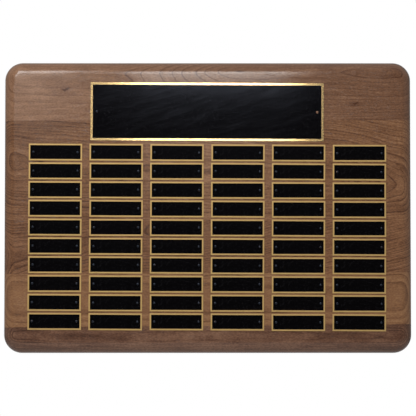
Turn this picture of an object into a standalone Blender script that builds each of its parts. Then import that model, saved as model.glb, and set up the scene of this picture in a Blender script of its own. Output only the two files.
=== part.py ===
"""A walnut wall plaque: five glued staves, a header plate and sixty blank nameplates.

Metres, +Z up. The front faces -Y and +X is to the right seen from the front.
The origin is the centre of the flat back, which lies against the wall.
"""

import math

import bmesh
import bpy

INCH = 0.0254

# The board: outline, thickness, and the rounding of its front and back edges.
BOARD_W = 21 * INCH
BOARD_H = 15 * INCH
BOARD_T = 13 / 16 * INCH
CORNER_R = 15 / 16 * INCH
FRONT_R = 5 / 8 * INCH
BACK_R = 1 / 16 * INCH
CORNER_STEPS = 8
FRONT_STEPS = 6
BACK_STEPS = 2

# The glue joints, from the top: height at the middle of the board, and rise to the right in degrees.
STAVE_JOINTS = ((0.1135, 0.10), (-0.0177, 0.20), (-0.0860, 0.25), (-0.1545, 0.47))

# Touching pieces keep this gap, and a cutter reaches this far past the face it opens.
GAP = 0.0003
PAST = 0.001

# Engraving plates. They are set by hand, so they turn a little from the board's edges.
PLATE_T = 0.032 * INCH
PLATE_TURN = math.radians(0.25)
HEADER_W = 12 * INCH
HEADER_H = 3 * INCH
HEADER_X = -0.0008
HEADER_Z = 0.1248
NAMEPLATE_W = 2.75 * INCH
NAMEPLATE_H = 0.875 * INCH
COLUMNS = 6
ROWS = 10
COLUMN_PITCH = 3.125 * INCH
ROW_PITCH = 0.02452
GRID_X = -0.00075
GRID_Z = -0.0391

# Each nameplate object is an upright pair, joined at the back by a thin web.
WEB_W = 0.012
WEB_T = 0.00035

# Escutcheon pins that hold the header plate.
PIN_FROM_END = 0.0083
PIN_HEAD_R = 0.0016
PIN_HEAD_H = 0.0009
PIN_SHANK_R = 0.00065
PIN_LENGTH = 0.011
PIN_POINT = 0.0015
PIN_STEPS = 16

# Steel keyhole hangers, let in flush with the back of the top stave.
HANGER_SPACING = 16 * INCH
HANGER_Z = 0.150
HANGER_W = 5 / 8 * INCH
HANGER_H = 2 * INCH
HANGER_T = 0.0016
HANGER_CORNER_R = 0.003
KEYHOLE_R = 3 / 16 * INCH
KEYSLOT_R = 3 / 32 * INCH
KEYHOLE_DROP = 0.006
KEYSLOT_RISE = 0.006
POCKET_R = 0.00625
POCKET_DEPTH = 0.009
ARC_STEPS = 8

# Flat-head wood screws of the hangers.
SCREW_FROM_MIDDLE = 0.020
SCREW_HEAD_R = 0.0028
SCREW_HEAD_H = 0.0012
SCREW_SHANK_R = 0.0014
SCREW_LENGTH = 0.5 * INCH
SCREW_POINT = 0.003
SCREW_STEPS = 16

FRONT_Y = -BOARD_T
PLATE_BACK_Y = FRONT_Y - GAP
PLATE_FRONT_Y = PLATE_BACK_Y - PLATE_T

# Colours are linear red, green and blue.
WALNUT_TONES = (
    (0.202, 0.112, 0.072),
    (0.162, 0.080, 0.047),
    (0.153, 0.076, 0.042),
    (0.191, 0.095, 0.050),
    (0.112, 0.058, 0.036),
)
BLACK_LACQUER = (0.012, 0.012, 0.014)
PIN_METAL = (0.10, 0.085, 0.075)
ZINC = (0.55, 0.56, 0.58)


def clear_scene():
    for item in list(bpy.data.objects):
        bpy.data.objects.remove(item, do_unlink=True)


def material(name, colour, roughness, metallic):
    made = bpy.data.materials.new(name)
    made.use_nodes = True
    shader = made.node_tree.nodes["Principled BSDF"]
    shader.inputs["Base Color"].default_value = (*colour, 1)
    shader.inputs["Roughness"].default_value = roughness
    shader.inputs["Metallic"].default_value = metallic
    made.diffuse_color = (*colour, 1)
    return made


def finish_mesh(bm, name):
    """The bmesh as a mesh with its faces pointing out."""
    bmesh.ops.recalc_face_normals(bm, faces=bm.faces)
    mesh = bpy.data.meshes.new(name)
    bm.to_mesh(mesh)
    bm.free()
    return mesh


def place(name, mesh, look, location=(0, 0, 0), turn=0.0):
    item = bpy.data.objects.new(name, mesh)
    item.location = location
    item.rotation_euler = (0, turn, 0)
    if look and not mesh.materials:
        mesh.materials.append(look)
    bpy.context.collection.objects.link(item)
    return item


def cut(item, name, mesh, location):
    """Takes the cutter's shape out of item with a Boolean that stays on it."""
    cutter = place(name, mesh, None, location)
    cutter.hide_render = True
    cutter.display_type = "WIRE"
    step = item.modifiers.new(name, "BOOLEAN")
    step.operation = "DIFFERENCE"
    step.solver = "EXACT"
    step.object = cutter


def turned(center, x, z):
    """The point x, z off a plate's centre, on a plate set at PLATE_TURN."""
    cos, sin = math.cos(PLATE_TURN), math.sin(PLATE_TURN)
    return center[0] + cos * x + sin * z, center[1] - sin * x + cos * z


def arc(center, radius, start, end, steps):
    """Points on an arc in X, Z, with angles in degrees."""
    angles = [math.radians(start + (end - start) * i / steps) for i in range(steps + 1)]
    return [(center[0] + radius * math.cos(a), center[1] + radius * math.sin(a)) for a in angles]


def rounded_rectangle(width, height, radius, steps):
    points = []
    for sign_x, sign_z, start in ((1, 1, 0), (-1, 1, 90), (-1, -1, 180), (1, -1, 270)):
        center = (sign_x * (width / 2 - radius), sign_z * (height / 2 - radius))
        points += arc(center, radius, start, start + 90, steps)
    return points


def loft(loops):
    """A closed bmesh through equal loops of 3-D points, with a flat face at each end."""
    bm = bmesh.new()
    rings = [[bm.verts.new(point) for point in loop] for loop in loops]
    for near, far in zip(rings, rings[1:]):
        for i in range(len(near)):
            j = (i + 1) % len(near)
            bm.faces.new((near[i], near[j], far[j], far[i]))
    bm.faces.new(rings[0])
    bm.faces.new(rings[-1])
    return bm


def extruded(name, outline, y_from, y_to):
    loops = [[(x, y, z) for x, z in outline] for y in (y_from, y_to)]
    return finish_mesh(loft(loops), name)


def turned_solid(name, profile, steps):
    """A solid of revolution about Y through (radius, y) points, pointed or flat at its ends."""
    loops = []
    for radius, y in profile:
        loops.append([(x, y, z) for x, z in arc((0, 0), radius, 0, 360, steps)[:-1]])
    return finish_mesh(loft(loops), name)


def board_blank():
    """The whole board as one closed bmesh: rounded rectangles stacked from back to front."""
    sections = []
    for i in range(BACK_STEPS + 1):
        angle = math.pi / 2 * i / BACK_STEPS
        sections.append((BACK_R * (1 - math.sin(angle)), -BACK_R * (1 - math.cos(angle))))
    for i in range(FRONT_STEPS + 1):
        angle = math.pi / 2 * i / FRONT_STEPS
        inset = FRONT_R * (1 - math.cos(angle))
        sections.append((inset, FRONT_Y + FRONT_R * (1 - math.sin(angle))))
    loops = []
    for inset, y in sections:
        size = (BOARD_W - 2 * inset, BOARD_H - 2 * inset, CORNER_R - inset)
        loops.append([(x, y, z) for x, z in rounded_rectangle(*size, CORNER_STEPS)])
    return loft(loops)


def slice_off(bm, joint, keep_above):
    """Cuts the bmesh along a glue joint and closes the cut."""
    height, rise = joint
    up = (-math.sin(math.radians(rise)), 0, math.cos(math.radians(rise)))
    offset = GAP / 2 if keep_above else -GAP / 2
    made = bmesh.ops.bisect_plane(
        bm,
        geom=bm.verts[:] + bm.edges[:] + bm.faces[:],
        plane_co=(0, 0, height + offset),
        plane_no=up,
        clear_inner=keep_above,
        clear_outer=not keep_above,
    )
    edges = [part for part in made["geom_cut"] if isinstance(part, bmesh.types.BMEdge)]
    bmesh.ops.edgenet_fill(bm, edges=edges)


def make_staves():
    staves = []
    count = len(STAVE_JOINTS) + 1
    for i in range(count):
        bm = board_blank()
        if i > 0:
            slice_off(bm, STAVE_JOINTS[i - 1], keep_above=False)
        if i < count - 1:
            slice_off(bm, STAVE_JOINTS[i], keep_above=True)
        name = f"walnut_stave_{i + 1}"
        look = material(name, WALNUT_TONES[i], 0.42, 0.0)
        staves.append(place(name, finish_mesh(bm, name), look))
    return staves


def header_pin_places():
    reach = HEADER_W / 2 - PIN_FROM_END
    center = (HEADER_X, HEADER_Z)
    return {"left": turned(center, -reach, 0), "right": turned(center, reach, 0)}


def make_header(top_stave):
    """The header plate, its two pins, and the holes that the pins go through."""
    look = material("header_plate", BLACK_LACQUER, 0.22, 0.3)
    outline = rounded_rectangle(HEADER_W, HEADER_H, 0.0006, 1)
    mesh = extruded("header_plate", outline, PLATE_BACK_Y, PLATE_FRONT_Y)
    header = place("header_plate", mesh, look, (HEADER_X, 0, HEADER_Z), PLATE_TURN)

    head_y = PLATE_FRONT_Y - GAP
    point_y = head_y + PIN_LENGTH
    profile = [
        (PIN_SHANK_R * 0.15, point_y),
        (PIN_SHANK_R, point_y - PIN_POINT),
        (PIN_SHANK_R, head_y),
    ]
    for angle in (0, 25, 50, 72):
        bend = math.radians(angle)
        profile.append((PIN_HEAD_R * math.cos(bend), head_y - PIN_HEAD_H * math.sin(bend)))
    pin = turned_solid("header_pin", profile, PIN_STEPS)
    pin_look = material("header_pin", PIN_METAL, 0.35, 0.9)
    hole_profile = [(PIN_SHANK_R + GAP, point_y + GAP), (PIN_SHANK_R + GAP, head_y - PAST)]
    hole = turned_solid("pin_hole", hole_profile, PIN_STEPS)
    for side, (x, z) in header_pin_places().items():
        place(f"header_pin_{side}", pin, pin_look, (x, 0, z))
        cut(header, f"header_hole_{side}", hole, (x, 0, z))
        cut(top_stave, f"pilot_hole_{side}", hole, (x, 0, z))


def plate_pair():
    """Two nameplates one above the other, with the web that joins them at the back."""
    half_w, web = NAMEPLATE_W / 2, WEB_W / 2
    near = ROW_PITCH / 2 - NAMEPLATE_H / 2
    far = near + NAMEPLATE_H
    web_y = PLATE_BACK_Y - WEB_T
    bm = bmesh.new()
    made = {}

    def face(*points):
        bm.faces.new([made.setdefault(point, bm.verts.new(point)) for point in points])

    back, front = PLATE_BACK_Y, PLATE_FRONT_Y
    for side in (1, -1):
        inner, outer = side * near, side * far
        face((-half_w, front, inner), (half_w, front, inner), (half_w, front, outer), (-half_w, front, outer))
        face((-half_w, front, outer), (half_w, front, outer), (half_w, back, outer), (-half_w, back, outer))
        for x in (-half_w, half_w):
            face((x, back, inner), (x, front, inner), (x, front, outer), (x, back, outer))
        face(
            (-half_w, back, inner), (-web, back, inner), (-web, web_y, inner), (web, web_y, inner),
            (web, back, inner), (half_w, back, inner), (half_w, front, inner), (-half_w, front, inner),
        )
    for x in (-web, web):
        face((x, back, near), (x, web_y, near), (x, web_y, -near), (x, back, -near))
    face((-web, web_y, near), (web, web_y, near), (web, web_y, -near), (-web, web_y, -near))
    face(
        (-half_w, back, far), (half_w, back, far), (half_w, back, near), (web, back, near),
        (web, back, -near), (half_w, back, -near), (half_w, back, -far), (-half_w, back, -far),
        (-half_w, back, -near), (-web, back, -near), (-web, back, near), (-half_w, back, near),
    )
    for vert in [vert for vert in bm.verts if not vert.link_faces]:
        bm.verts.remove(vert)
    return finish_mesh(bm, "nameplate_pair")


def make_nameplates():
    mesh = plate_pair()
    look = material("nameplate", BLACK_LACQUER, 0.28, 0.3)
    for column in range(COLUMNS):
        x = (column - (COLUMNS - 1) / 2) * COLUMN_PITCH
        for upper in range(0, ROWS, 2):
            z = ((ROWS - 1) / 2 - upper - 0.5) * ROW_PITCH
            at_x, at_z = turned((GRID_X, GRID_Z), x, z)
            name = f"nameplates_c{column + 1}_r{upper + 1:02d}_{upper + 2:02d}"
            place(name, mesh, look, (at_x, 0, at_z), PLATE_TURN)


def keyhole_outline():
    """The round entry below and the narrow slot above it, about the hanger's middle."""
    lean = math.degrees(math.asin(KEYSLOT_R / KEYHOLE_R))
    entry = arc((0, -KEYHOLE_DROP), KEYHOLE_R, 90 + lean, 450 - lean, 2 * ARC_STEPS)
    return entry + arc((0, KEYSLOT_RISE), KEYSLOT_R, 0, 180, ARC_STEPS)


def pocket_outline():
    """Room behind the keyhole for the wall screw's head to slide up."""
    top = arc((0, KEYSLOT_RISE), POCKET_R, 0, 180, ARC_STEPS)
    return top + arc((0, -KEYHOLE_DROP), POCKET_R, 180, 360, ARC_STEPS)


def screw_profile():
    """Radii and depths of a flat-head screw, from its point out to its head."""
    return [
        (SCREW_SHANK_R * 0.2, -SCREW_LENGTH),
        (SCREW_SHANK_R, -SCREW_LENGTH + SCREW_POINT),
        (SCREW_SHANK_R, -SCREW_HEAD_H),
        (SCREW_HEAD_R, 0.0),
    ]


def screw_hole_profile():
    """A drilled hole with a countersink that opens past the back face."""
    slope = (SCREW_HEAD_R - SCREW_SHANK_R) / SCREW_HEAD_H
    hole_r = SCREW_SHANK_R + GAP
    return [
        (hole_r, -SCREW_LENGTH - GAP),
        (hole_r, -SCREW_HEAD_H),
        (hole_r + slope * (SCREW_HEAD_H + PAST), PAST),
    ]


def make_hangers(top_stave):
    """Two keyhole plates with their screws, and the recesses they sit in."""
    steel = material("keyhole_hanger", ZINC, 0.35, 1.0)
    screw_steel = material("hanger_screw", ZINC, 0.30, 1.0)
    plate_outline = rounded_rectangle(HANGER_W, HANGER_H, HANGER_CORNER_R, 4)
    recess_size = (HANGER_W + 2 * GAP, HANGER_H + 2 * GAP, HANGER_CORNER_R + GAP)
    recess = extruded("recess", rounded_rectangle(*recess_size, 4), PAST, -HANGER_T - GAP)
    pocket = extruded("pocket", pocket_outline(), PAST, -POCKET_DEPTH)
    keyhole = extruded("keyhole", keyhole_outline(), PAST, -HANGER_T - PAST)
    screw = turned_solid("hanger_screw", screw_profile(), SCREW_STEPS)
    screw_hole = turned_solid("screw_hole", screw_hole_profile(), SCREW_STEPS)
    for side, sign in (("left", -1), ("right", 1)):
        x = sign * HANGER_SPACING / 2
        plate = extruded(f"keyhole_hanger_{side}", plate_outline, 0.0, -HANGER_T)
        hanger = place(f"keyhole_hanger_{side}", plate, steel, (x, 0, HANGER_Z))
        cut(hanger, f"keyhole_{side}", keyhole, (x, 0, HANGER_Z))
        cut(top_stave, f"recess_{side}", recess, (x, 0, HANGER_Z))
        cut(top_stave, f"pocket_{side}", pocket, (x, 0, HANGER_Z))
        for level, rise in (("top", SCREW_FROM_MIDDLE), ("bottom", -SCREW_FROM_MIDDLE)):
            spot = (x, 0, HANGER_Z + rise)
            place(f"hanger_screw_{side}_{level}", screw, screw_steel, spot)
            cut(hanger, f"countersink_{side}_{level}", screw_hole, spot)
            cut(top_stave, f"screw_hole_{side}_{level}", screw_hole, spot)


clear_scene()
staves = make_staves()
make_header(staves[0])
make_nameplates()
make_hangers(staves[0])
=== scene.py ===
"""Looks for the walnut wall plaque: a walnut board, lacquered brass plates, pins, hangers and screws.

Metres, +Z up, the front faces -Y. The origin is the centre of the flat back.
"""

import math
import random

import bmesh
import bpy
from mathutils import Matrix, Vector


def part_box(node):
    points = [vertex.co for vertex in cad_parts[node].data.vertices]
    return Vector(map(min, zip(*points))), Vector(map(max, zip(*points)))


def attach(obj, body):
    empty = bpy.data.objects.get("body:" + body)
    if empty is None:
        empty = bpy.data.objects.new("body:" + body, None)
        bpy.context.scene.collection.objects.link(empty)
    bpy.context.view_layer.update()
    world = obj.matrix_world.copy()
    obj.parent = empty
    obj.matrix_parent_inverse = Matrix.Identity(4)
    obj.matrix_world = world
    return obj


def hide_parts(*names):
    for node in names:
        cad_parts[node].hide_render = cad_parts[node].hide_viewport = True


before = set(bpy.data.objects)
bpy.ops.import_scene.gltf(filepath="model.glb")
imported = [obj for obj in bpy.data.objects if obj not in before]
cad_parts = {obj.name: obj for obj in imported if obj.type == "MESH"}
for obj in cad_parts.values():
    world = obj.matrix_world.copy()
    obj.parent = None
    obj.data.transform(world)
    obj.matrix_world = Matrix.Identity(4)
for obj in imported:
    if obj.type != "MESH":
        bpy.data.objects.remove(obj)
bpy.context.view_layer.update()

MM = 0.001
INCH = 0.0254

# ---------------------------------------------------------------- sizes, read from the frame
STAVES = [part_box(f"walnut_stave_{i}") for i in range(1, 6)]
LEFT_X = STAVES[0][0].x
RIGHT_X = STAVES[0][1].x
TOP_Z = STAVES[0][1].z
BOTTOM_Z = STAVES[4][0].z
BOARD_W = RIGHT_X - LEFT_X
BOARD_H = TOP_Z - BOTTOM_Z
BOARD_T = STAVES[0][1].y - STAVES[0][0].y
FRONT_Y = -BOARD_T

# The board's edges, as the CAD model has them, and the finer steps they get here.
CORNER_R = 15 / 16 * INCH
FRONT_R = 5 / 8 * INCH
BACK_R = 1 / 16 * INCH
CORNER_STEPS = 24
FRONT_STEPS = 20
BACK_STEPS = 5
# Glue joints from the top: height at the middle of the board, and rise to the right in degrees.
STAVE_JOINTS = ((0.1135, 0.10), (-0.0177, 0.20), (-0.0860, 0.25), (-0.1545, 0.47))
# Faces that meet at a wider angle than this, in degrees, keep a sharp edge between them.
SHARP_ANGLE = 32
PLATE_SHARP_ANGLE = 20

# The plates, all turned by the same small angle.
PLATE_TURN = math.radians(0.25)
NAMEPLATE_W = 2.75 * INCH
NAMEPLATE_H = 0.875 * INCH
NAMEPLATE_BORDER = 0.00205
HEADER_W = 12 * INCH
HEADER_H = 3 * INCH
HEADER_BORDER = 0.0030
# The sheared edge is rounded over this width, and the lacquered field lies this much lower.
PLATE_EDGE = 0.0002
FIELD_SINK = 0.00003
FIELD_STEP = 0.00005
PLATE_CORNER_R = 0.0004
FIELD_CORNER_R = 0.0002
PLATE_CORNER_STEPS = 3
COLUMNS = 6
ROWS = 10
# How far each nameplate is off its place either way, and its extra turn in degrees.
SLIP_X = 0.00025
SLIP_Z = 0.00018
SLIP_TURN = 0.16

PIN_LENGTH = 0.0105
PIN_POINT = 0.0015
PIN_POINT_R = 0.0001
PIN_SHANK_R = 0.00065
PIN_HEAD_H = 0.0009
PIN_SIDES = 28
# The share of the pin head's height that its soft rim takes.
PIN_RIM = 0.12
HEADER_PIN_HEAD_R = 0.00155
NAMEPLATE_PIN_HEAD_R = 0.00165
# A nameplate's pins: distance from its ends, the scatter of that, and the most that they sit high.
PIN_INSET = 0.0060
PIN_SCATTER = 0.0002
PIN_RISE = 0.0004

# The keyhole hangers at the back, as the CAD model has them, and their eased edges.
HANGER_CORNER_R = 0.003
HANGER_EASE = 0.0002
KEYHOLE_R = 3 / 16 * INCH
KEYSLOT_R = 3 / 32 * INCH
KEYHOLE_DROP = 0.006
KEYSLOT_RISE = 0.006
KEYHOLE_FLARE = 0.00025
POCKET_R = 0.00625
POCKET_DEPTH = 0.009
SCREW_HEAD_R = 0.0028
SCREW_HEAD_H = 0.0012
SCREW_HEAD_EASE = 0.00012
SCREW_SHANK_R = 0.0014
SCREW_LENGTH = 0.5 * INCH
# The screw's thread: where it ends below the head, its pitch and depth, and the mesh steps along and round.
THREAD_TOP = -0.0042
THREAD_PITCH = 0.0011
THREAD_DEPTH = 0.00045
THREAD_STEPS = 66
SCREW_SIDES = 24
# The length of the screw's point, and the share of its width that is left at the tip.
SCREW_POINT = 0.0030
SCREW_TIP_SHARE = 0.08
# The step from the thread's end to the smooth shank.
NECK_LOW = -0.0039
NECK_HIGH = -0.0037
# The cross recess: half length, half width and height of each blade's two ends.
CROSS_BLADE = ((0.0004, 0.0001, -0.0010), (0.00165, 0.00032, 0.0002))
# Touching pieces keep this gap, and a cutter reaches this far past the face it opens.
GAP = 0.0003
PAST = 0.001

# The floor: height, radius, and the radii between which it fades out.
FLOOR_Z = -0.46
FLOOR_R = 1.5
FLOOR_FADE = (0.7, 1.45)

# What the world gives off toward the board, by how far a direction faces the back: -1 is the front.
WORLD_GLOW = ((-0.99, 0.0), (-0.955, 0.12), (-0.80, 0.12), (-0.45, 0.56), (0.10, 0.56), (0.80, 0.50))
# The share of that glow straight down and straight up.
GLOW_DOWN = 0.05
GLOW_UP = 1.0
# Soft boxes: name, place, the point each faces, width, height and radiance.
SOFT_BOXES = (
    ("tall_box", (0.012, -2.0, 0.83), (0, 0, 0.17), 0.455, 0.76, 13.4),
    ("left_box", (-0.70, -2.0, 1.06), (-0.2, 0, 0.17), 0.67, 0.98, 12.0),
)
SOFT_BOX_COLOUR = (1, 0.98, 0.96)

CAMERA_DISTANCE = 2.0
CAMERA_ELEVATION = math.radians(-1.97)
CAMERA_AZIMUTH = math.radians(-0.1)
CAMERA_AIM = Vector((0.0004, 0, -0.0003))
CAMERA_LENS = 131.3
CAMERA_SENSOR = 36


# ---------------------------------------------------------------- node helpers
class Tree:
    """The node tree of a material or a world, with short calls for the nodes used here."""

    def __init__(self, owner):
        self.owner = owner
        owner.use_nodes = True
        self.nodes = owner.node_tree.nodes
        self.links = owner.node_tree.links
        self.shader = self.nodes.get("Principled BSDF")

    def add(self, kind, **settings):
        node = self.nodes.new(kind)
        for key, value in settings.items():
            setattr(node, key, value)
        return node

    def put(self, socket, value):
        """Links value to the socket if it is a socket too, and otherwise sets it."""
        if isinstance(value, bpy.types.NodeSocket):
            self.links.new(value, socket)
        elif value is not None:
            socket.default_value = value

    def math(self, operation, a, b=None, clamp=False):
        node = self.add("ShaderNodeMath", operation=operation, use_clamp=clamp)
        for socket, value in zip(node.inputs, (a, b)):
            self.put(socket, value)
        return node.outputs[0]

    def plus(self, a, b, share=1.0):
        """a + b * share."""
        return self.math("ADD", a, b if share == 1.0 else self.math("MULTIPLY", b, share))

    def square(self, value):
        return self.math("POWER", value, 2.0)

    def vector(self, operation, a, b=None):
        node = self.add("ShaderNodeVectorMath", operation=operation)
        for socket, value in zip(node.inputs, (a, b)):
            self.put(socket, value)
        return node.outputs["Value" if operation == "LENGTH" else "Vector"]

    def split(self, value):
        node = self.add("ShaderNodeSeparateXYZ")
        self.put(node.inputs[0], value)
        return node.outputs

    def join(self, x, y, z):
        node = self.add("ShaderNodeCombineXYZ")
        for socket, value in zip(node.inputs, (x, y, z)):
            self.put(socket, value)
        return node.outputs[0]

    def noise(self, place, sizes, detail=2.0, roughness=0.5, distortion=0.0, out="Fac"):
        """Noise whose blobs have about these sizes along x, y and z."""
        node = self.add("ShaderNodeTexNoise")
        self.put(node.inputs["Vector"], self.vector("MULTIPLY", place, tuple(1 / size for size in sizes)))
        node.inputs["Scale"].default_value = 1.0
        node.inputs["Detail"].default_value = detail
        node.inputs["Roughness"].default_value = roughness
        node.inputs["Distortion"].default_value = distortion
        return node.outputs[out]

    def ramp(self, value, stops):
        """stops: (position, grey or colour), in rising order."""
        node = self.add("ShaderNodeValToRGB")
        elements = node.color_ramp.elements
        while len(elements) < len(stops):
            elements.new(0.5)
        for element, (position, colour) in zip(elements, stops):
            element.position = position
            element.color = (*colour, 1) if isinstance(colour, tuple) else (colour, colour, colour, 1)
        self.put(node.inputs[0], value)
        return node.outputs["Color"]

    def scaled(self, value, low, high, to_low=0.0, to_high=1.0, kind="LINEAR"):
        """Maps low..high to to_low..to_high, and holds the ends beyond. SMOOTHSTEP eases both ends."""
        node = self.add("ShaderNodeMapRange", interpolation_type=kind)
        for socket, number in zip(node.inputs[1:5], (low, high, to_low, to_high)):
            socket.default_value = number
        self.put(node.inputs[0], value)
        return node.outputs[0]

    def smooth(self, value, low, high, to_low=0.0, to_high=1.0):
        return self.scaled(value, low, high, to_low, to_high, "SMOOTHSTEP")

    def bell(self, value):
        """exp(-value): 1 where value is 0, and falling to 0."""
        return self.math("EXPONENT", self.math("MULTIPLY", value, -1.0))

    def mix(self, factor, a, b):
        node = self.add("ShaderNodeMix", data_type="RGBA")
        self.put(node.inputs[0], factor)
        self.put(node.inputs[6], a)
        self.put(node.inputs[7], b)
        return node.outputs[2]

    def bump(self, height, distance, strength):
        node = self.add("ShaderNodeBump")
        node.inputs["Strength"].default_value = strength
        node.inputs["Distance"].default_value = distance
        self.put(node.inputs["Height"], height)
        return node.outputs[0]

    def place(self):
        """The point on the piece in its own frame, in millimetres."""
        point = self.add("ShaderNodeTexCoord").outputs["Object"]
        return self.vector("MULTIPLY", point, (1000, 1000, 1000))


def material_tree(name):
    return Tree(bpy.data.materials.new(name))


def srgb(red, green, blue):
    """A screen colour of 0 to 255 a channel as linear values."""
    def linear(level):
        level /= 255
        return ((level + 0.055) / 1.055) ** 2.4 if level > 0.04045 else level / 12.92

    return linear(red), linear(green), linear(blue)


# ---------------------------------------------------------------- materials
def bent_by_knots(t, x, z, knots):
    """Bows the grain round each knot. Returns the new z, and how dark the knots are, or None without any."""
    spots = None
    for knot_x, knot_z, size in knots:
        off_x = t.math("DIVIDE", t.math("SUBTRACT", x, knot_x), size * 2.6)
        off_z = t.math("SUBTRACT", z, knot_z)
        far = t.plus(t.square(t.math("DIVIDE", off_z, size)), t.square(off_x))
        near = t.bell(far)
        z = t.plus(z, t.math("MULTIPLY", off_z, near), -0.8)
        # The dark heart is a bent streak that runs further to the right.
        rise = t.math("MULTIPLY", t.math("ABSOLUTE", off_x), size * 1.3)
        streak = t.square(t.math("DIVIDE", t.math("SUBTRACT", off_z, rise), size * 0.28))
        reach = t.square(t.plus(-0.45, off_x, 3.1))
        spot = t.plus(t.bell(t.plus(streak, reach)), near, 0.07)
        spots = spot if spots is None else t.plus(spots, spot)
    return z, spots


def wandering(t, place, wave):
    """How far the fibres stray along y and z: the log wanders slowly, and its fibres ripple a little."""
    slow = t.noise(place, (150, 60, 60), out="Color")
    ripple = t.noise(place, (30, 12, 12), out="Color")
    _, slow_y, slow_z = t.split(t.vector("SUBTRACT", slow, (0.5, 0.5, 0.5)))
    _, ripple_y, ripple_z = t.split(t.vector("SUBTRACT", ripple, (0.5, 0.5, 0.5)))
    stray_y = t.plus(t.math("MULTIPLY", slow_y, wave), ripple_y, wave * 0.08)
    stray_z = t.plus(t.math("MULTIPLY", slow_z, wave), ripple_z, wave * 0.08)
    return stray_y, stray_z


def year_rings(t, radius, spacing, seed, first, late, faintest):
    """Growth rings of uneven width. Returns a soft shading through the year, and the dark line at its end."""
    count = t.math("DIVIDE", radius, spacing)
    uneven = t.noise(t.join(t.math("MULTIPLY", count, 0.45), seed * 3.1, 0.0), (1, 1, 1), 1.0)
    count = t.plus(t.plus(count, uneven, 2.6), first)
    phase = t.math("FRACT", count)
    soft = t.ramp(phase, ((0.0, 0.55), (0.25, 0.75), (0.60, 0.50), (1.0, 0.25)))
    line = t.ramp(phase, ((0.0, 0.70), (0.05, 0.0), (late, 0.0), (late * 0.4 + 0.6, 0.9), (1.0, 1.0)))
    # The line is darker in some years than in others.
    year = t.add("ShaderNodeTexWhiteNoise", noise_dimensions="1D")
    t.put(year.inputs["W"], t.plus(t.math("FLOOR", count), seed * 13.0))
    strength = t.scaled(year.outputs["Value"], 0.0, 1.0, faintest, 1.0)
    return soft, t.math("MULTIPLY", line, strength)


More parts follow.
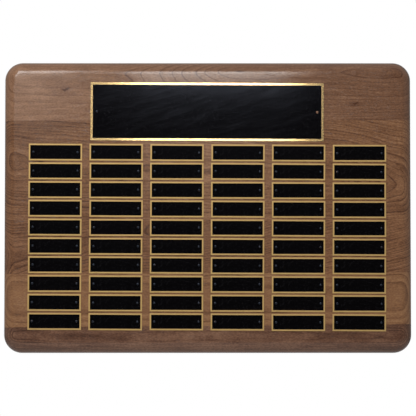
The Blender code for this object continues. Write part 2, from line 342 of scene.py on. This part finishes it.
def walnut(name, dark, middle, light, pith, lean, spacing, seed, wave, lines, late, taper=0.0, belly=None,
           sag=None, knots=(), tilt=0.0, near_lines=None, figure=1.0, glow=None, first=0.0, bands=0.30,
           faintest=0.35, span=None):
    """Solid walnut, with growth rings round a pith that runs along X. Lengths are in mm.

    pith is the pith's height and how far it lies ahead of the face, below zero behind it. lean is its rise
    along X, spacing the width of a growth ring, taper the change of radius along X, and wave how far the log
    wanders. belly (from x, to x, change) and sag (middle x, change 100 mm from it) change how far the pith
    lies ahead. Each knot is (x, z, size). tilt is painted light that lightens the left end, and glow (middle
    x, reach, strength) is painted light that lightens the middle. first shifts the rings by a share of a
    year, late is when in the year the dark line starts, lines is how dark it is, and bands how much the rest
    of the year varies. faintest is the strength of the faintest line. near_lines (full within, weak beyond)
    goes by the radius, and span (from x, to x, share) scales the lines by that share beyond both ends. figure
    scales the finer variation of colour.
    """
    t = material_tree(name)
    point = t.place()
    shifted = t.vector("ADD", point, (seed * 731.0, seed * 57.0, seed * 191.0))
    x, y, z = t.split(point)
    z, spots = bent_by_knots(t, x, z, knots)
    stray_y, stray_z = wandering(t, shifted, wave)

    # The distance from the pith.
    across = t.plus(t.plus(t.math("SUBTRACT", z, pith[0]), stray_z), x, -lean)
    depth = t.plus(t.plus(y, BOARD_T / MM + pith[1]), stray_y)
    if belly:
        depth = t.plus(depth, t.smooth(x, belly[0], belly[1], 0.0, belly[2]))
    if sag:
        bend = t.square(t.math("DIVIDE", t.math("SUBTRACT", x, sag[0]), 100.0))
        depth = t.plus(depth, bend, sag[1])
    radius = t.math("SQRT", t.plus(t.square(across), t.square(depth)))
    radius = t.plus(radius, x, taper)

    soft, line = year_rings(t, radius, spacing, seed, first, late, faintest)
    patchy = t.noise(shifted, (90, 40, 20), 2.0, 0.6)
    line = t.math("MULTIPLY", line, t.scaled(patchy, 0.35, 0.60, faintest, 1.0))
    if near_lines:
        line = t.math("MULTIPLY", line, t.smooth(radius, near_lines[0], near_lines[1], 1.0, 0.3))
    if span:
        line = t.math("MULTIPLY", line, t.smooth(x, span[0] - 35, span[0], span[2], 1.0))
        line = t.math("MULTIPLY", line, t.smooth(x, span[1], span[1] + 45, 1.0, span[2]))

    # Fine grain that follows the rings, short fibre flecks, pores and cloudy patches.
    grain = t.noise(t.join(x, radius, across), (30, 1.5, 24), 3.0, 0.65)
    fibres = t.join(x, t.plus(y, stray_y), t.plus(z, stray_z))
    fibres = t.vector("ADD", fibres, (seed * 53.0, seed * 17.0, seed * 29.0))
    fleck = t.noise(fibres, (2.8, 1.1, 1.1), 2.0, 0.6)
    pores = t.scaled(t.noise(fibres, (6, 0.42, 0.42), 2.0, 0.6), 0.60, 0.72)
    cloud = t.noise(fibres, (50, 24, 12), 3.0, 0.55)

    # The shade of 0 to 1 that picks the colour.
    shade = t.math("MULTIPLY", t.math("SUBTRACT", soft, 0.5), bands)
    shade = t.plus(shade, line, -lines)
    for pattern, strength in ((grain, 0.80 * figure), (fleck, 0.4 + 0.65 * figure), (cloud, 0.50 * figure)):
        shade = t.plus(shade, t.math("SUBTRACT", pattern, 0.5), strength)
    shade = t.plus(shade, pores, -0.30)
    # Painted light: tilt lightens one end of the stave and glow its middle, in place of light that falls
    # stronger there.
    shade = t.plus(shade, x, -tilt / 260)
    if glow:
        off = t.square(t.math("DIVIDE", t.math("SUBTRACT", x, glow[0]), glow[1]))
        shade = t.plus(shade, t.bell(off), glow[2])
    if spots:
        shade = t.plus(shade, spots, -1.9)
    shade = t.math("ADD", shade, 0.55, clamp=True)
    t.put(t.shader.inputs["Base Color"], t.ramp(shade, ((0.0, dark), (0.5, middle), (1.0, light))))

    # The finish is a satin lacquer. The grain lines spread a glint across themselves, upright.
    rough = t.plus(t.math("MULTIPLY", grain, 0.10), pores, 0.18)
    t.put(t.shader.inputs["Roughness"], t.plus(rough, 0.10))
    t.shader.inputs["Specular IOR Level"].default_value = 0.35
    t.shader.inputs["Anisotropic"].default_value = 0.83
    t.put(t.shader.inputs["Tangent"], t.join(0.03, 0.02, 1.0))
    height = t.math("SUBTRACT", t.math("MULTIPLY", grain, 0.35), pores)
    t.put(t.shader.inputs["Normal"], t.bump(height, 0.00006, 0.6))
    return t.owner


# The staves from the top.
WALNUTS = (
    dict(dark=srgb(79, 52, 39), middle=srgb(116, 84, 64), light=srgb(155, 119, 93), seed=1.0,
         pith=(178, 61), lean=0.0, belly=(-125, 45, -36), wave=11,
         spacing=4.6, first=0.65, late=0.91, lines=0.95, faintest=0.65, bands=0.18,
         near_lines=(56, 84), span=(-120, 70, 0.38),
         figure=0.8, tilt=0.15, knots=((-187.5, 153.0, 4.2), (191.9, 135.0, 2.8))),
    dict(dark=srgb(71, 47, 36), middle=srgb(111, 78, 56), light=srgb(148, 110, 81), seed=2.0,
         pith=(46, 32), lean=-0.055, belly=(165, 258, 14), taper=0.012, wave=12,
         spacing=3.4, first=0.75, late=0.86, lines=0.56, bands=0.40,
         tilt=-0.04, glow=(0, 90, 0.16)),
    dict(dark=srgb(71, 47, 36), middle=srgb(110, 77, 55), light=srgb(144, 106, 79), seed=3.0,
         pith=(-14, -34), lean=0.20, belly=(-150, 120, 60), taper=0.02, wave=12,
         spacing=2.9, late=0.70, lines=0.46,
         tilt=-0.06),
    dict(dark=srgb(83, 56, 40), middle=srgb(126, 91, 65), light=srgb(156, 120, 87), seed=4.0,
         pith=(-118, 38), lean=0.004, taper=0.004, wave=8,
         spacing=6.0, first=0.45, late=0.80, lines=0.48, faintest=0.3, bands=0.45,
         figure=0.75),
    dict(dark=srgb(57, 39, 31), middle=srgb(94, 66, 52), light=srgb(124, 93, 74), seed=5.0,
         pith=(-167.5, 24), lean=-0.004, sag=(15, 0.25), wave=3.5,
         spacing=1.5, first=1.10, late=0.78, lines=0.27, faintest=0.45, bands=0.16, span=(-205, 195, 3.4),
         figure=1.2, tilt=0.02, glow=(10, 120, 0.16)),
)


def brass(name, colour, low, high, seed, polish, brushed=0.0, coat=0.0):
    """Bare brass with a fine grain from the mill, and faint tarnish. Brushing spreads its glints upright.

    low and high are its roughness, polish is how metallic it is, and coat how much clear lacquer it has.
    """
    t = material_tree(name)
    point = t.vector("ADD", t.place(), (seed, seed, seed))
    grain = t.noise(point, (12, 0.2, 0.12), 2.0, 0.6)
    stain = t.noise(point, (16, 16, 8), 3.0, 0.6)
    tarnished = tuple(level * factor for level, factor in zip(colour, (0.72, 0.66, 0.55)))
    stained = t.mix(t.scaled(stain, 0.50, 1.00), colour + (1,), tarnished + (1,))
    t.put(t.shader.inputs["Base Color"], stained)
    t.put(t.shader.inputs["Roughness"], t.scaled(grain, 0.3, 0.7, low, high))
    t.put(t.shader.inputs["Normal"], t.bump(grain, 0.000005, 0.12))
    t.shader.inputs["Metallic"].default_value = polish
    t.shader.inputs["Anisotropic"].default_value = brushed
    t.shader.inputs["Coat Weight"].default_value = coat
    t.shader.inputs["Coat Roughness"].default_value = 0.12
    if brushed:
        t.put(t.shader.inputs["Tangent"], t.join(0.0, 0.0, 1.0))
    return t.owner


def lacquer(name, colour, low, high, dust, gloss):
    """Black lacquer: a soft gloss, with faint slanted wiping smears and specks of dust.

    low and high are its roughness, clean and smeared. dust lightens the smears, and gloss is its shine.
    """
    t = material_tree(name)
    point = t.place()
    x, y, z = t.split(point)
    slanted = t.join(x, y, t.plus(z, x, -0.3))
    smear = t.scaled(t.noise(slanted, (55, 10, 6), 5.0, 0.72, 0.5), 0.44, 0.74)
    specks = t.scaled(t.noise(point, (1.1, 1.1, 1.1), 1.0), 0.64, 0.76)
    dusty = tuple(level + dust for level in colour)
    spotted = t.mix(t.math("MULTIPLY", specks, 0.35), colour + (1,), srgb(70, 70, 74) + (1,))
    t.put(t.shader.inputs["Base Color"], t.mix(smear, spotted, dusty + (1,)))
    t.put(t.shader.inputs["Roughness"], t.scaled(smear, 0.0, 1.0, low, high))
    t.shader.inputs["Specular IOR Level"].default_value = gloss
    t.shader.inputs["Specular Tint"].default_value = (0.73, 0.80, 1.0, 1.0)
    return t.owner


def dark_pin(name, bare):
    """Blackened brass pin. The black is worn off where the patches, which vary by pin, rise above bare."""
    t = material_tree(name)
    chance = t.add("ShaderNodeObjectInfo").outputs["Random"]
    shift = t.join(t.math("MULTIPLY", chance, 91.0), 0.0, t.math("MULTIPLY", chance, 57.0))
    patches = t.noise(t.vector("ADD", t.place(), shift), (1.1, 1.1, 1.1), 3.0, 0.6)
    worn = t.scaled(patches, bare, bare + 0.06)
    black, copper = srgb(46, 50, 58), srgb(214, 160, 122)
    t.put(t.shader.inputs["Base Color"], t.mix(worn, black + (1,), copper + (1,)))
    t.put(t.shader.inputs["Roughness"], t.scaled(patches, 0.3, 0.7, 0.36, 0.28))
    t.put(t.shader.inputs["Normal"], t.bump(patches, 0.00003, 0.5))
    t.shader.inputs["Metallic"].default_value = 1.0
    return t.owner


def zinc(name, colour, seed):
    """Bright zinc plate: small cloudy spangles and drag marks."""
    t = material_tree(name)
    point = t.vector("ADD", t.place(), (seed, seed, seed))
    cloud = t.noise(point, (2.5, 2.5, 2.5), 3.0, 0.6)
    drag = t.noise(point, (0.25, 0.25, 9), 2.0, 0.6)
    dull = tuple(level * 0.62 for level in colour)
    t.put(t.shader.inputs["Base Color"], t.mix(t.scaled(cloud, 0.35, 0.7), colour + (1,), dull + (1,)))
    t.put(t.shader.inputs["Roughness"], t.scaled(drag, 0.3, 0.7, 0.26, 0.46))
    t.put(t.shader.inputs["Normal"], t.bump(drag, 0.00001, 0.5))
    t.shader.inputs["Metallic"].default_value = 1.0
    return t.owner


# ---------------------------------------------------------------- mesh helpers
def arc(center, radius, start, end, steps):
    """Points on an arc in X, Z, with angles in degrees."""
    angles = [math.radians(start + (end - start) * i / steps) for i in range(steps + 1)]
    return [(center[0] + radius * math.cos(a), center[1] + radius * math.sin(a)) for a in angles]


def circle(radius, steps):
    return arc((0, 0), radius, 0, 360, steps)[:-1]


def rounded_rectangle(width, height, radius, steps):
    """An outline in X, Z about the origin, with steps edges to a corner."""
    points = []
    for sign_x, sign_z, start in ((1, 1, 0), (-1, 1, 90), (-1, -1, 180), (1, -1, 270)):
        center = (sign_x * (width / 2 - radius), sign_z * (height / 2 - radius))
        points += arc(center, radius, start, start + 90, steps)
    return points


def loft(layers):
    """A closed bmesh through (outline, y) layers of equal point counts, with a flat face at each end."""
    bm = bmesh.new()
    rings = [[bm.verts.new((x, y, z)) for x, z in outline] for outline, y in layers]
    for near, far in zip(rings, rings[1:]):
        for i in range(len(near)):
            j = (i + 1) % len(near)
            bm.faces.new((near[i], near[j], far[j], far[i]))
    bm.faces.new(rings[0])
    bm.faces.new(rings[-1])
    return bm


def soften(mesh, sharp_angle=SHARP_ANGLE):
    """Smooth shading, with edges over the angle kept sharp."""
    mesh.shade_smooth()
    mesh.set_sharp_from_angle(angle=math.radians(sharp_angle))
    return mesh


def mesh_from(bm, name, sharp_angle=SHARP_ANGLE):
    bmesh.ops.recalc_face_normals(bm, faces=bm.faces)
    mesh = bpy.data.meshes.new(name)
    bm.to_mesh(mesh)
    bm.free()
    return soften(mesh, sharp_angle)


def stacked(name, layers):
    """A solid through (outline, y) layers."""
    return mesh_from(loft(layers), name)


def turned(name, profile, steps):
    """A solid of revolution about Y through (radius, y) points."""
    return stacked(name, [(circle(radius, steps), y) for radius, y in profile])


def put(name, mesh, materials, location=(0, 0, 0), turn=0.0):
    """A new object, turned about Y. Its mesh gets the materials unless it has some."""
    item = bpy.data.objects.new(name, mesh)
    item.location = location
    item.rotation_euler = (0, turn, 0)
    if not mesh.materials:
        for material in materials:
            mesh.materials.append(material)
    bpy.context.scene.collection.objects.link(item)
    return item


def finish_piece(item, slot, *nodes):
    """The piece rides on the plaque and stands for its CAD nodes, which it hides. slot is not used."""
    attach(item, "root")
    if nodes:
        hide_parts(*nodes)


def carved(item, cutters):
    """Takes each (mesh, location) out of item, and leaves it a plain mesh."""
    holders = []
    for mesh, location in cutters:
        holder = put("cutter", mesh, (), location)
        holders.append(holder)
        step = item.modifiers.new("cut", "BOOLEAN")
        step.operation = "DIFFERENCE"
        step.solver = "EXACT"
        step.object = holder
    bpy.context.view_layer.update()
    shape = item.evaluated_get(bpy.context.evaluated_depsgraph_get())
    mesh = bpy.data.meshes.new_from_object(shape)
    item.modifiers.clear()
    item.data = mesh
    for holder in holders:
        bpy.data.objects.remove(holder)
    soften(mesh)


def node_middle(node):
    """The middle of a CAD node's box."""
    low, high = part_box(node)
    return (low + high) / 2


def turned_by(angle, x, z):
    """A step of x and z, turned about Y."""
    return Matrix.Rotation(angle, 3, "Y") @ Vector((x, 0, z))


# ---------------------------------------------------------------- board
def board_blank():
    """The whole board: rounded rectangles stacked from back to front, the bull-nose finely stepped."""
    sections = []
    for i in range(BACK_STEPS + 1):
        angle = math.pi / 2 * i / BACK_STEPS
        sections.append((BACK_R * (1 - math.sin(angle)), -BACK_R * (1 - math.cos(angle))))
    for i in range(FRONT_STEPS + 1):
        angle = math.pi / 2 * i / FRONT_STEPS
        inset = FRONT_R * (1 - math.cos(angle))
        sections.append((inset, FRONT_Y + FRONT_R * (1 - math.sin(angle))))
    layers = []
    for inset, y in sections:
        size = (BOARD_W - 2 * inset, BOARD_H - 2 * inset, CORNER_R - inset)
        layers.append((rounded_rectangle(*size, CORNER_STEPS), y))
    return loft(layers)


def slice_off(bm, joint, keep_above):
    """Cuts the bmesh along a glue joint and closes the cut."""
    height, rise = joint
    up = (-math.sin(math.radians(rise)), 0, math.cos(math.radians(rise)))
    made = bmesh.ops.bisect_plane(
        bm,
        geom=bm.verts[:] + bm.edges[:] + bm.faces[:],
        plane_co=(0, 0, height),
        plane_no=up,
        clear_inner=keep_above,
        clear_outer=not keep_above,
    )
    edges = [part for part in made["geom_cut"] if isinstance(part, bmesh.types.BMEdge)]
    bmesh.ops.edgenet_fill(bm, edges=edges)


def make_staves():
    """The five staves, each cut from a whole board along its glue joints."""
    staves = []
    for i, look in enumerate(WALNUTS):
        bm = board_blank()
        if i > 0:
            slice_off(bm, STAVE_JOINTS[i - 1], keep_above=False)
        if i < len(STAVE_JOINTS):
            slice_off(bm, STAVE_JOINTS[i], keep_above=True)
        name = f"walnut_stave_{i + 1}"
        stave = put(f"stave_{i + 1}", mesh_from(bm, name), [walnut(name, **look)])
        staves.append(stave)
        finish_piece(stave, name, name)
    return staves


# ---------------------------------------------------------------- plates and pins
def plate_mesh(name, width, height, thick, border):
    """A sheared brass plate: softened edge, brass border, and the lacquered field a hair lower."""
    rows = (
        (0.0, 0.0),
        (0.0, -(thick - PLATE_EDGE)),
        (PLATE_EDGE * 0.3, -(thick - PLATE_EDGE * 0.3)),
        (PLATE_EDGE, -thick),
        (border - FIELD_STEP, -thick),
        (border, -thick + FIELD_SINK),
    )
    layers = []
    for inset, y in rows:
        corner_r = PLATE_CORNER_R if inset < PLATE_EDGE else FIELD_CORNER_R
        size = (width - 2 * inset, height - 2 * inset, corner_r)
        layers.append((rounded_rectangle(*size, PLATE_CORNER_STEPS), y))
    bm = loft(layers)
    bm.faces.ensure_lookup_table()
    bm.faces[-1].material_index = 1
    return mesh_from(bm, name, PLATE_SHARP_ANGLE)


def pin_mesh(name, head_r):
    """An escutcheon pin: a domed head with a soft rim, and a straight pointed shank."""
    profile = [(PIN_POINT_R, PIN_LENGTH), (PIN_SHANK_R, PIN_LENGTH - PIN_POINT), (PIN_SHANK_R, 0.0)]
    profile += [(head_r * 0.94, 0.0), (head_r, -PIN_HEAD_H * PIN_RIM)]
    for angle in range(14, 90, 12):
        bend = math.radians(angle)
        rise = PIN_RIM + (1 - PIN_RIM) * math.sin(bend)
        profile.append((head_r * math.cos(bend), -PIN_HEAD_H * rise))
    return turned(name, profile, PIN_SIDES)


def make_header():
    """The header plate and its two pins. Returns the pins' usual metal."""
    low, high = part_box("header_plate")
    middle = node_middle("header_plate")
    mesh = plate_mesh("header_plate", HEADER_W, HEADER_H, high.y - low.y, HEADER_BORDER)
    looks = [
        brass("header_brass", srgb(233, 201, 142), 0.20, 0.24, 3.0, 1.0, 1.0, 0.4),
        lacquer("header_lacquer", srgb(5, 4, 5), 0.10, 0.14, 0.0016, 0.35),
    ]
    header = put("header", mesh, looks, (middle.x, high.y, middle.z), PLATE_TURN)
    finish_piece(header, "header_plate", "header_plate")
    metal = dark_pin("pin_metal", 0.66)
    worn = dark_pin("worn_pin_metal", 0.42)
    pin = pin_mesh("header_pin", HEADER_PIN_HEAD_R)
    for side, finish in (("left", metal), ("right", worn)):
        node = f"header_pin_{side}"
        spot = node_middle(node)
        item = put(f"header_pin_head_{side}", pin.copy(), [finish], (spot.x, low.y, spot.z))
        finish_piece(item, "pin", node)
    return metal


def make_nameplates(metal):
    """Sixty loose nameplates. Each CAD node holds an upright pair of them, whose middle it marks."""
    rng = random.Random(7)
    header_low, header_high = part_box("header_plate")
    mesh = plate_mesh("nameplate", NAMEPLATE_W, NAMEPLATE_H, header_high.y - header_low.y, NAMEPLATE_BORDER)
    looks = [
        brass("nameplate_brass", srgb(182, 153, 101), 0.54, 0.64, 11.0, 0.90),
        lacquer("nameplate_lacquer", srgb(6, 5, 6), 0.26, 0.34, 0.0003, 0.02),
    ]
    pin = pin_mesh("nameplate_pin", NAMEPLATE_PIN_HEAD_R)
    upper = node_middle("nameplates_c1_r01_02")
    lower = node_middle("nameplates_c1_r09_10")
    pitch = (upper - lower).length / (ROWS - 2)
    for column in range(1, COLUMNS + 1):
        for row in range(1, ROWS + 1):
            first = row - (row - 1) % 2
            node = f"nameplates_c{column}_r{first:02d}_{first + 1:02d}"
            low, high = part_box(node)
            middle = node_middle(node)
            rise = pitch / 2 if row == first else -pitch / 2
            spot = Vector((middle.x, high.y, middle.z)) + turned_by(PLATE_TURN, 0, rise)
            spot += Vector((rng.uniform(-SLIP_X, SLIP_X), 0, rng.uniform(-SLIP_Z, SLIP_Z)))
            angle = PLATE_TURN + math.radians(rng.uniform(-SLIP_TURN, SLIP_TURN))
            plate = put(f"nameplate_c{column}_r{row:02d}", mesh, looks, spot, angle)
            finish_piece(plate, "nameplate", node)
            for side, sign in (("left", -1), ("right", 1)):
                reach = sign * (NAMEPLATE_W / 2 - PIN_INSET + rng.uniform(-PIN_SCATTER, PIN_SCATTER))
                offset = turned_by(angle, reach, rng.uniform(0, PIN_RISE))
                at = Vector((spot.x, low.y, spot.z)) + offset
                item = put(f"nameplate_pin_c{column}_r{row:02d}_{side}", pin, [metal], at)
                finish_piece(item, "pin")


# ---------------------------------------------------------------- hangers at the back
def keyhole_outline(wider):
    """The round entry below and the narrow slot above it, about the hanger's middle."""
    entry_r, slot_r = KEYHOLE_R + wider, KEYSLOT_R + wider
    lean = math.degrees(math.asin(slot_r / entry_r))
    entry = arc((0, -KEYHOLE_DROP), entry_r, 90 + lean, 450 - lean, 40)
    return entry + arc((0, KEYSLOT_RISE), slot_r, 0, 180, 20)


def pocket_outline():
    """Room behind the keyhole for the wall screw's head to slide up."""
    return arc((0, KEYSLOT_RISE), POCKET_R, 0, 180, 24) + arc((0, -KEYHOLE_DROP), POCKET_R, 180, 360, 24)


def hanger_mesh(width, height, thick):
    """The steel plate with its edges eased."""
    ease = HANGER_EASE
    layers = []
    for inset, y in ((ease, 0.0), (0.0, -ease), (0.0, -thick + ease), (ease, -thick)):
        outline = rounded_rectangle(width - 2 * inset, height - 2 * inset, HANGER_CORNER_R - inset, 10)
        layers.append((outline, y))
    return stacked("hanger", layers)


def screw_hole():
    """A drilled hole with a countersink that opens past the back face."""
    slope = (SCREW_HEAD_R - SCREW_SHANK_R) / SCREW_HEAD_H
    hole_r = SCREW_SHANK_R + GAP
    mouth_r = hole_r + slope * (SCREW_HEAD_H + PAST)
    profile = ((hole_r, -SCREW_LENGTH - GAP), (hole_r, -SCREW_HEAD_H), (mouth_r, PAST))
    return turned("screw_hole", profile, 32)


def screw_mesh():
    """A flat-head wood screw with a cut thread."""
    layers = []
    tip_y = -SCREW_LENGTH
    for step in range(THREAD_STEPS + 1):
        y = tip_y + (THREAD_TOP - tip_y) * step / THREAD_STEPS
        girth = min(1.0, SCREW_TIP_SHARE + (y - tip_y) / SCREW_POINT)
        outline = []
        for side in range(SCREW_SIDES):
            turn = side / SCREW_SIDES
            phase = (y / THREAD_PITCH + turn) % 1.0
            radius = (SCREW_SHANK_R - THREAD_DEPTH * (1 - abs(2 * phase - 1))) * girth
            outline.append((radius * math.cos(2 * math.pi * turn), radius * math.sin(2 * math.pi * turn)))
        layers.append((outline, y))
    head = (
        (SCREW_SHANK_R - THREAD_DEPTH, NECK_LOW),
        (SCREW_SHANK_R, NECK_HIGH),
        (SCREW_SHANK_R, -SCREW_HEAD_H),
        (SCREW_HEAD_R, -SCREW_HEAD_EASE),
        (SCREW_HEAD_R - SCREW_HEAD_EASE, 0.0),
    )
    layers += [(circle(radius, SCREW_SIDES), y) for radius, y in head]
    return stacked("hanger_screw", layers)


def cross_cutters():
    """Two tapered blades that sink a cross recess into a screw head."""
    blades = []
    for upright in (False, True):
        layers = []
        for half_long, half_wide, y in CROSS_BLADE:
            a, b = (half_wide, half_long) if upright else (half_long, half_wide)
            layers.append((((a, b), (-a, b), (-a, -b), (a, -b)), y))
        blades.append((stacked("blade", layers), (0, 0, 0)))
    return blades


def finished_screw(steel):
    """The screw's mesh with the cross recess sunk into its head."""
    blank = put("screw_shape", screw_mesh(), [steel])
    carved(blank, cross_cutters())
    mesh = blank.data
    bpy.data.objects.remove(blank)
    return mesh


def make_hangers(top_stave):
    """Two keyhole plates with their screws, and the recesses they sit in."""
    steel = zinc("hanger_zinc", srgb(196, 199, 203), 5.0)
    screw_steel = zinc("screw_zinc", srgb(206, 204, 192), 31.0)
    pocket = stacked("pocket", ((pocket_outline(), PAST), (pocket_outline(), -POCKET_DEPTH)))
    hole = screw_hole()
    screw = finished_screw(screw_steel)
    hollows = []
    for side in ("left", "right"):
        node = f"keyhole_hanger_{side}"
        low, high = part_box(node)
        size = high - low
        middle = node_middle(node)
        spot = (middle.x, 0, middle.z)
        outline = rounded_rectangle(size.x + 2 * GAP, size.z + 2 * GAP, HANGER_CORNER_R + GAP, 10)
        recess = stacked("recess", ((outline, PAST), (outline, -size.y - GAP)))
        hollows += [(recess, spot), (pocket, spot)]
        plate = put(f"hanger_{side}", hanger_mesh(size.x, size.z, size.y), [steel], spot)
        keyhole = stacked("keyhole", (
            (keyhole_outline(KEYHOLE_FLARE + PAST), PAST),
            (keyhole_outline(0.0), -KEYHOLE_FLARE),
            (keyhole_outline(0.0), -size.y - PAST),
        ))
        holes = [(keyhole, spot)]
        for level in ("top", "bottom"):
            screw_node = f"hanger_screw_{side}_{level}"
            at = node_middle(screw_node)
            place = (at.x, 0, at.z)
            holes.append((hole, place))
            hollows.append((hole, place))
            driven = put(f"screw_{side}_{level}", screw, [screw_steel], place)
            finish_piece(driven, "hanger_screw", screw_node)
        carved(plate, holes)
        finish_piece(plate, "hanger", node)
    carved(top_stave, hollows)


# ---------------------------------------------------------------- stage, light and camera
def stage_floor():
    """A pale round floor well below the plaque, which fades out toward its rim."""
    t = material_tree("pale_floor")
    radius = t.vector("LENGTH", t.add("ShaderNodeTexCoord").outputs["Object"])
    fade = t.smooth(radius, *FLOOR_FADE)
    t.shader.inputs["Base Color"].default_value = (0.86, 0.86, 0.85, 1)
    t.shader.inputs["Roughness"].default_value = 0.9
    clear = t.add("ShaderNodeBsdfTransparent")
    blend = t.add("ShaderNodeMixShader")
    t.put(blend.inputs[0], fade)
    t.put(blend.inputs[1], t.shader.outputs[0])
    t.put(blend.inputs[2], clear.outputs[0])
    t.put(t.nodes["Material Output"].inputs[0], blend.outputs[0])
    bm = bmesh.new()
    bmesh.ops.create_circle(bm, cap_ends=True, segments=96, radius=FLOOR_R)
    mesh = bpy.data.meshes.new("floor")
    bm.to_mesh(mesh)
    bm.free()
    floor = put("floor", mesh, [t.owner], (0, 0, FLOOR_Z))


def world_light():
    """White to the camera. For lighting, a pale studio that is dark in front, where the camera stands."""
    world = bpy.data.worlds.new("studio")
    bpy.context.scene.world = world
    t = Tree(world)
    seen = t.nodes["Background"]
    seen.inputs[0].default_value = (1, 1, 1, 1)
    seen.inputs[1].default_value = 1.0
    _, toward_back, up = t.split(t.add("ShaderNodeTexCoord").outputs["Generated"])
    stops = [((facing + 1) / 2, glow) for facing, glow in WORLD_GLOW]
    ring = t.ramp(t.scaled(toward_back, -1.0, 1.0), stops)
    # The walls fade toward the floor, which sends the light back up.
    height = t.scaled(up, -1.0, 1.0, GLOW_DOWN, GLOW_UP)
    lit = t.add("ShaderNodeBackground")
    lit.inputs[0].default_value = (1, 1, 1, 1)
    t.put(lit.inputs[1], t.math("MULTIPLY", ring, height))
    blend = t.add("ShaderNodeMixShader")
    t.put(blend.inputs[0], t.add("ShaderNodeLightPath").outputs["Is Camera Ray"])
    t.put(blend.inputs[1], lit.outputs[0])
    t.put(blend.inputs[2], seen.outputs[0])
    t.put(t.nodes["World Output"].inputs[0], blend.outputs[0])


def soft_light(name, place, aim, width, height, radiance):
    """A soft box whose face has the given radiance."""
    lamp = bpy.data.lights.new(name, "AREA")
    lamp.shape = "RECTANGLE"
    lamp.size = width
    lamp.size_y = height
    lamp.energy = radiance * math.pi * width * height
    lamp.color = SOFT_BOX_COLOUR
    item = bpy.data.objects.new(name, lamp)
    item.location = place
    item.rotation_euler = (Vector(aim) - Vector(place)).to_track_quat("-Z", "Y").to_euler()
    bpy.context.scene.collection.objects.link(item)


def camera():
    """The photo's view: almost level, from a hair below and a hair to the left."""
    away = Vector((
        math.sin(CAMERA_AZIMUTH) * math.cos(CAMERA_ELEVATION),
        -math.cos(CAMERA_AZIMUTH) * math.cos(CAMERA_ELEVATION),
        math.sin(CAMERA_ELEVATION),
    ))
    data = bpy.data.cameras.new("camera")
    data.lens = CAMERA_LENS
    data.sensor_width = CAMERA_SENSOR
    item = bpy.data.objects.new("camera", data)
    item.location = CAMERA_AIM + away * CAMERA_DISTANCE
    item.rotation_euler = (-away).to_track_quat("-Z", "Y").to_euler()
    bpy.context.scene.collection.objects.link(item)
    bpy.context.scene.camera = item


board = make_staves()
make_hangers(board[0])
pin_metal = make_header()
make_nameplates(pin_metal)
stage_floor()
world_light()
for soft_box in SOFT_BOXES:
    soft_light(*soft_box)
camera()
bpy.context.scene.view_settings.view_transform = "Standard"
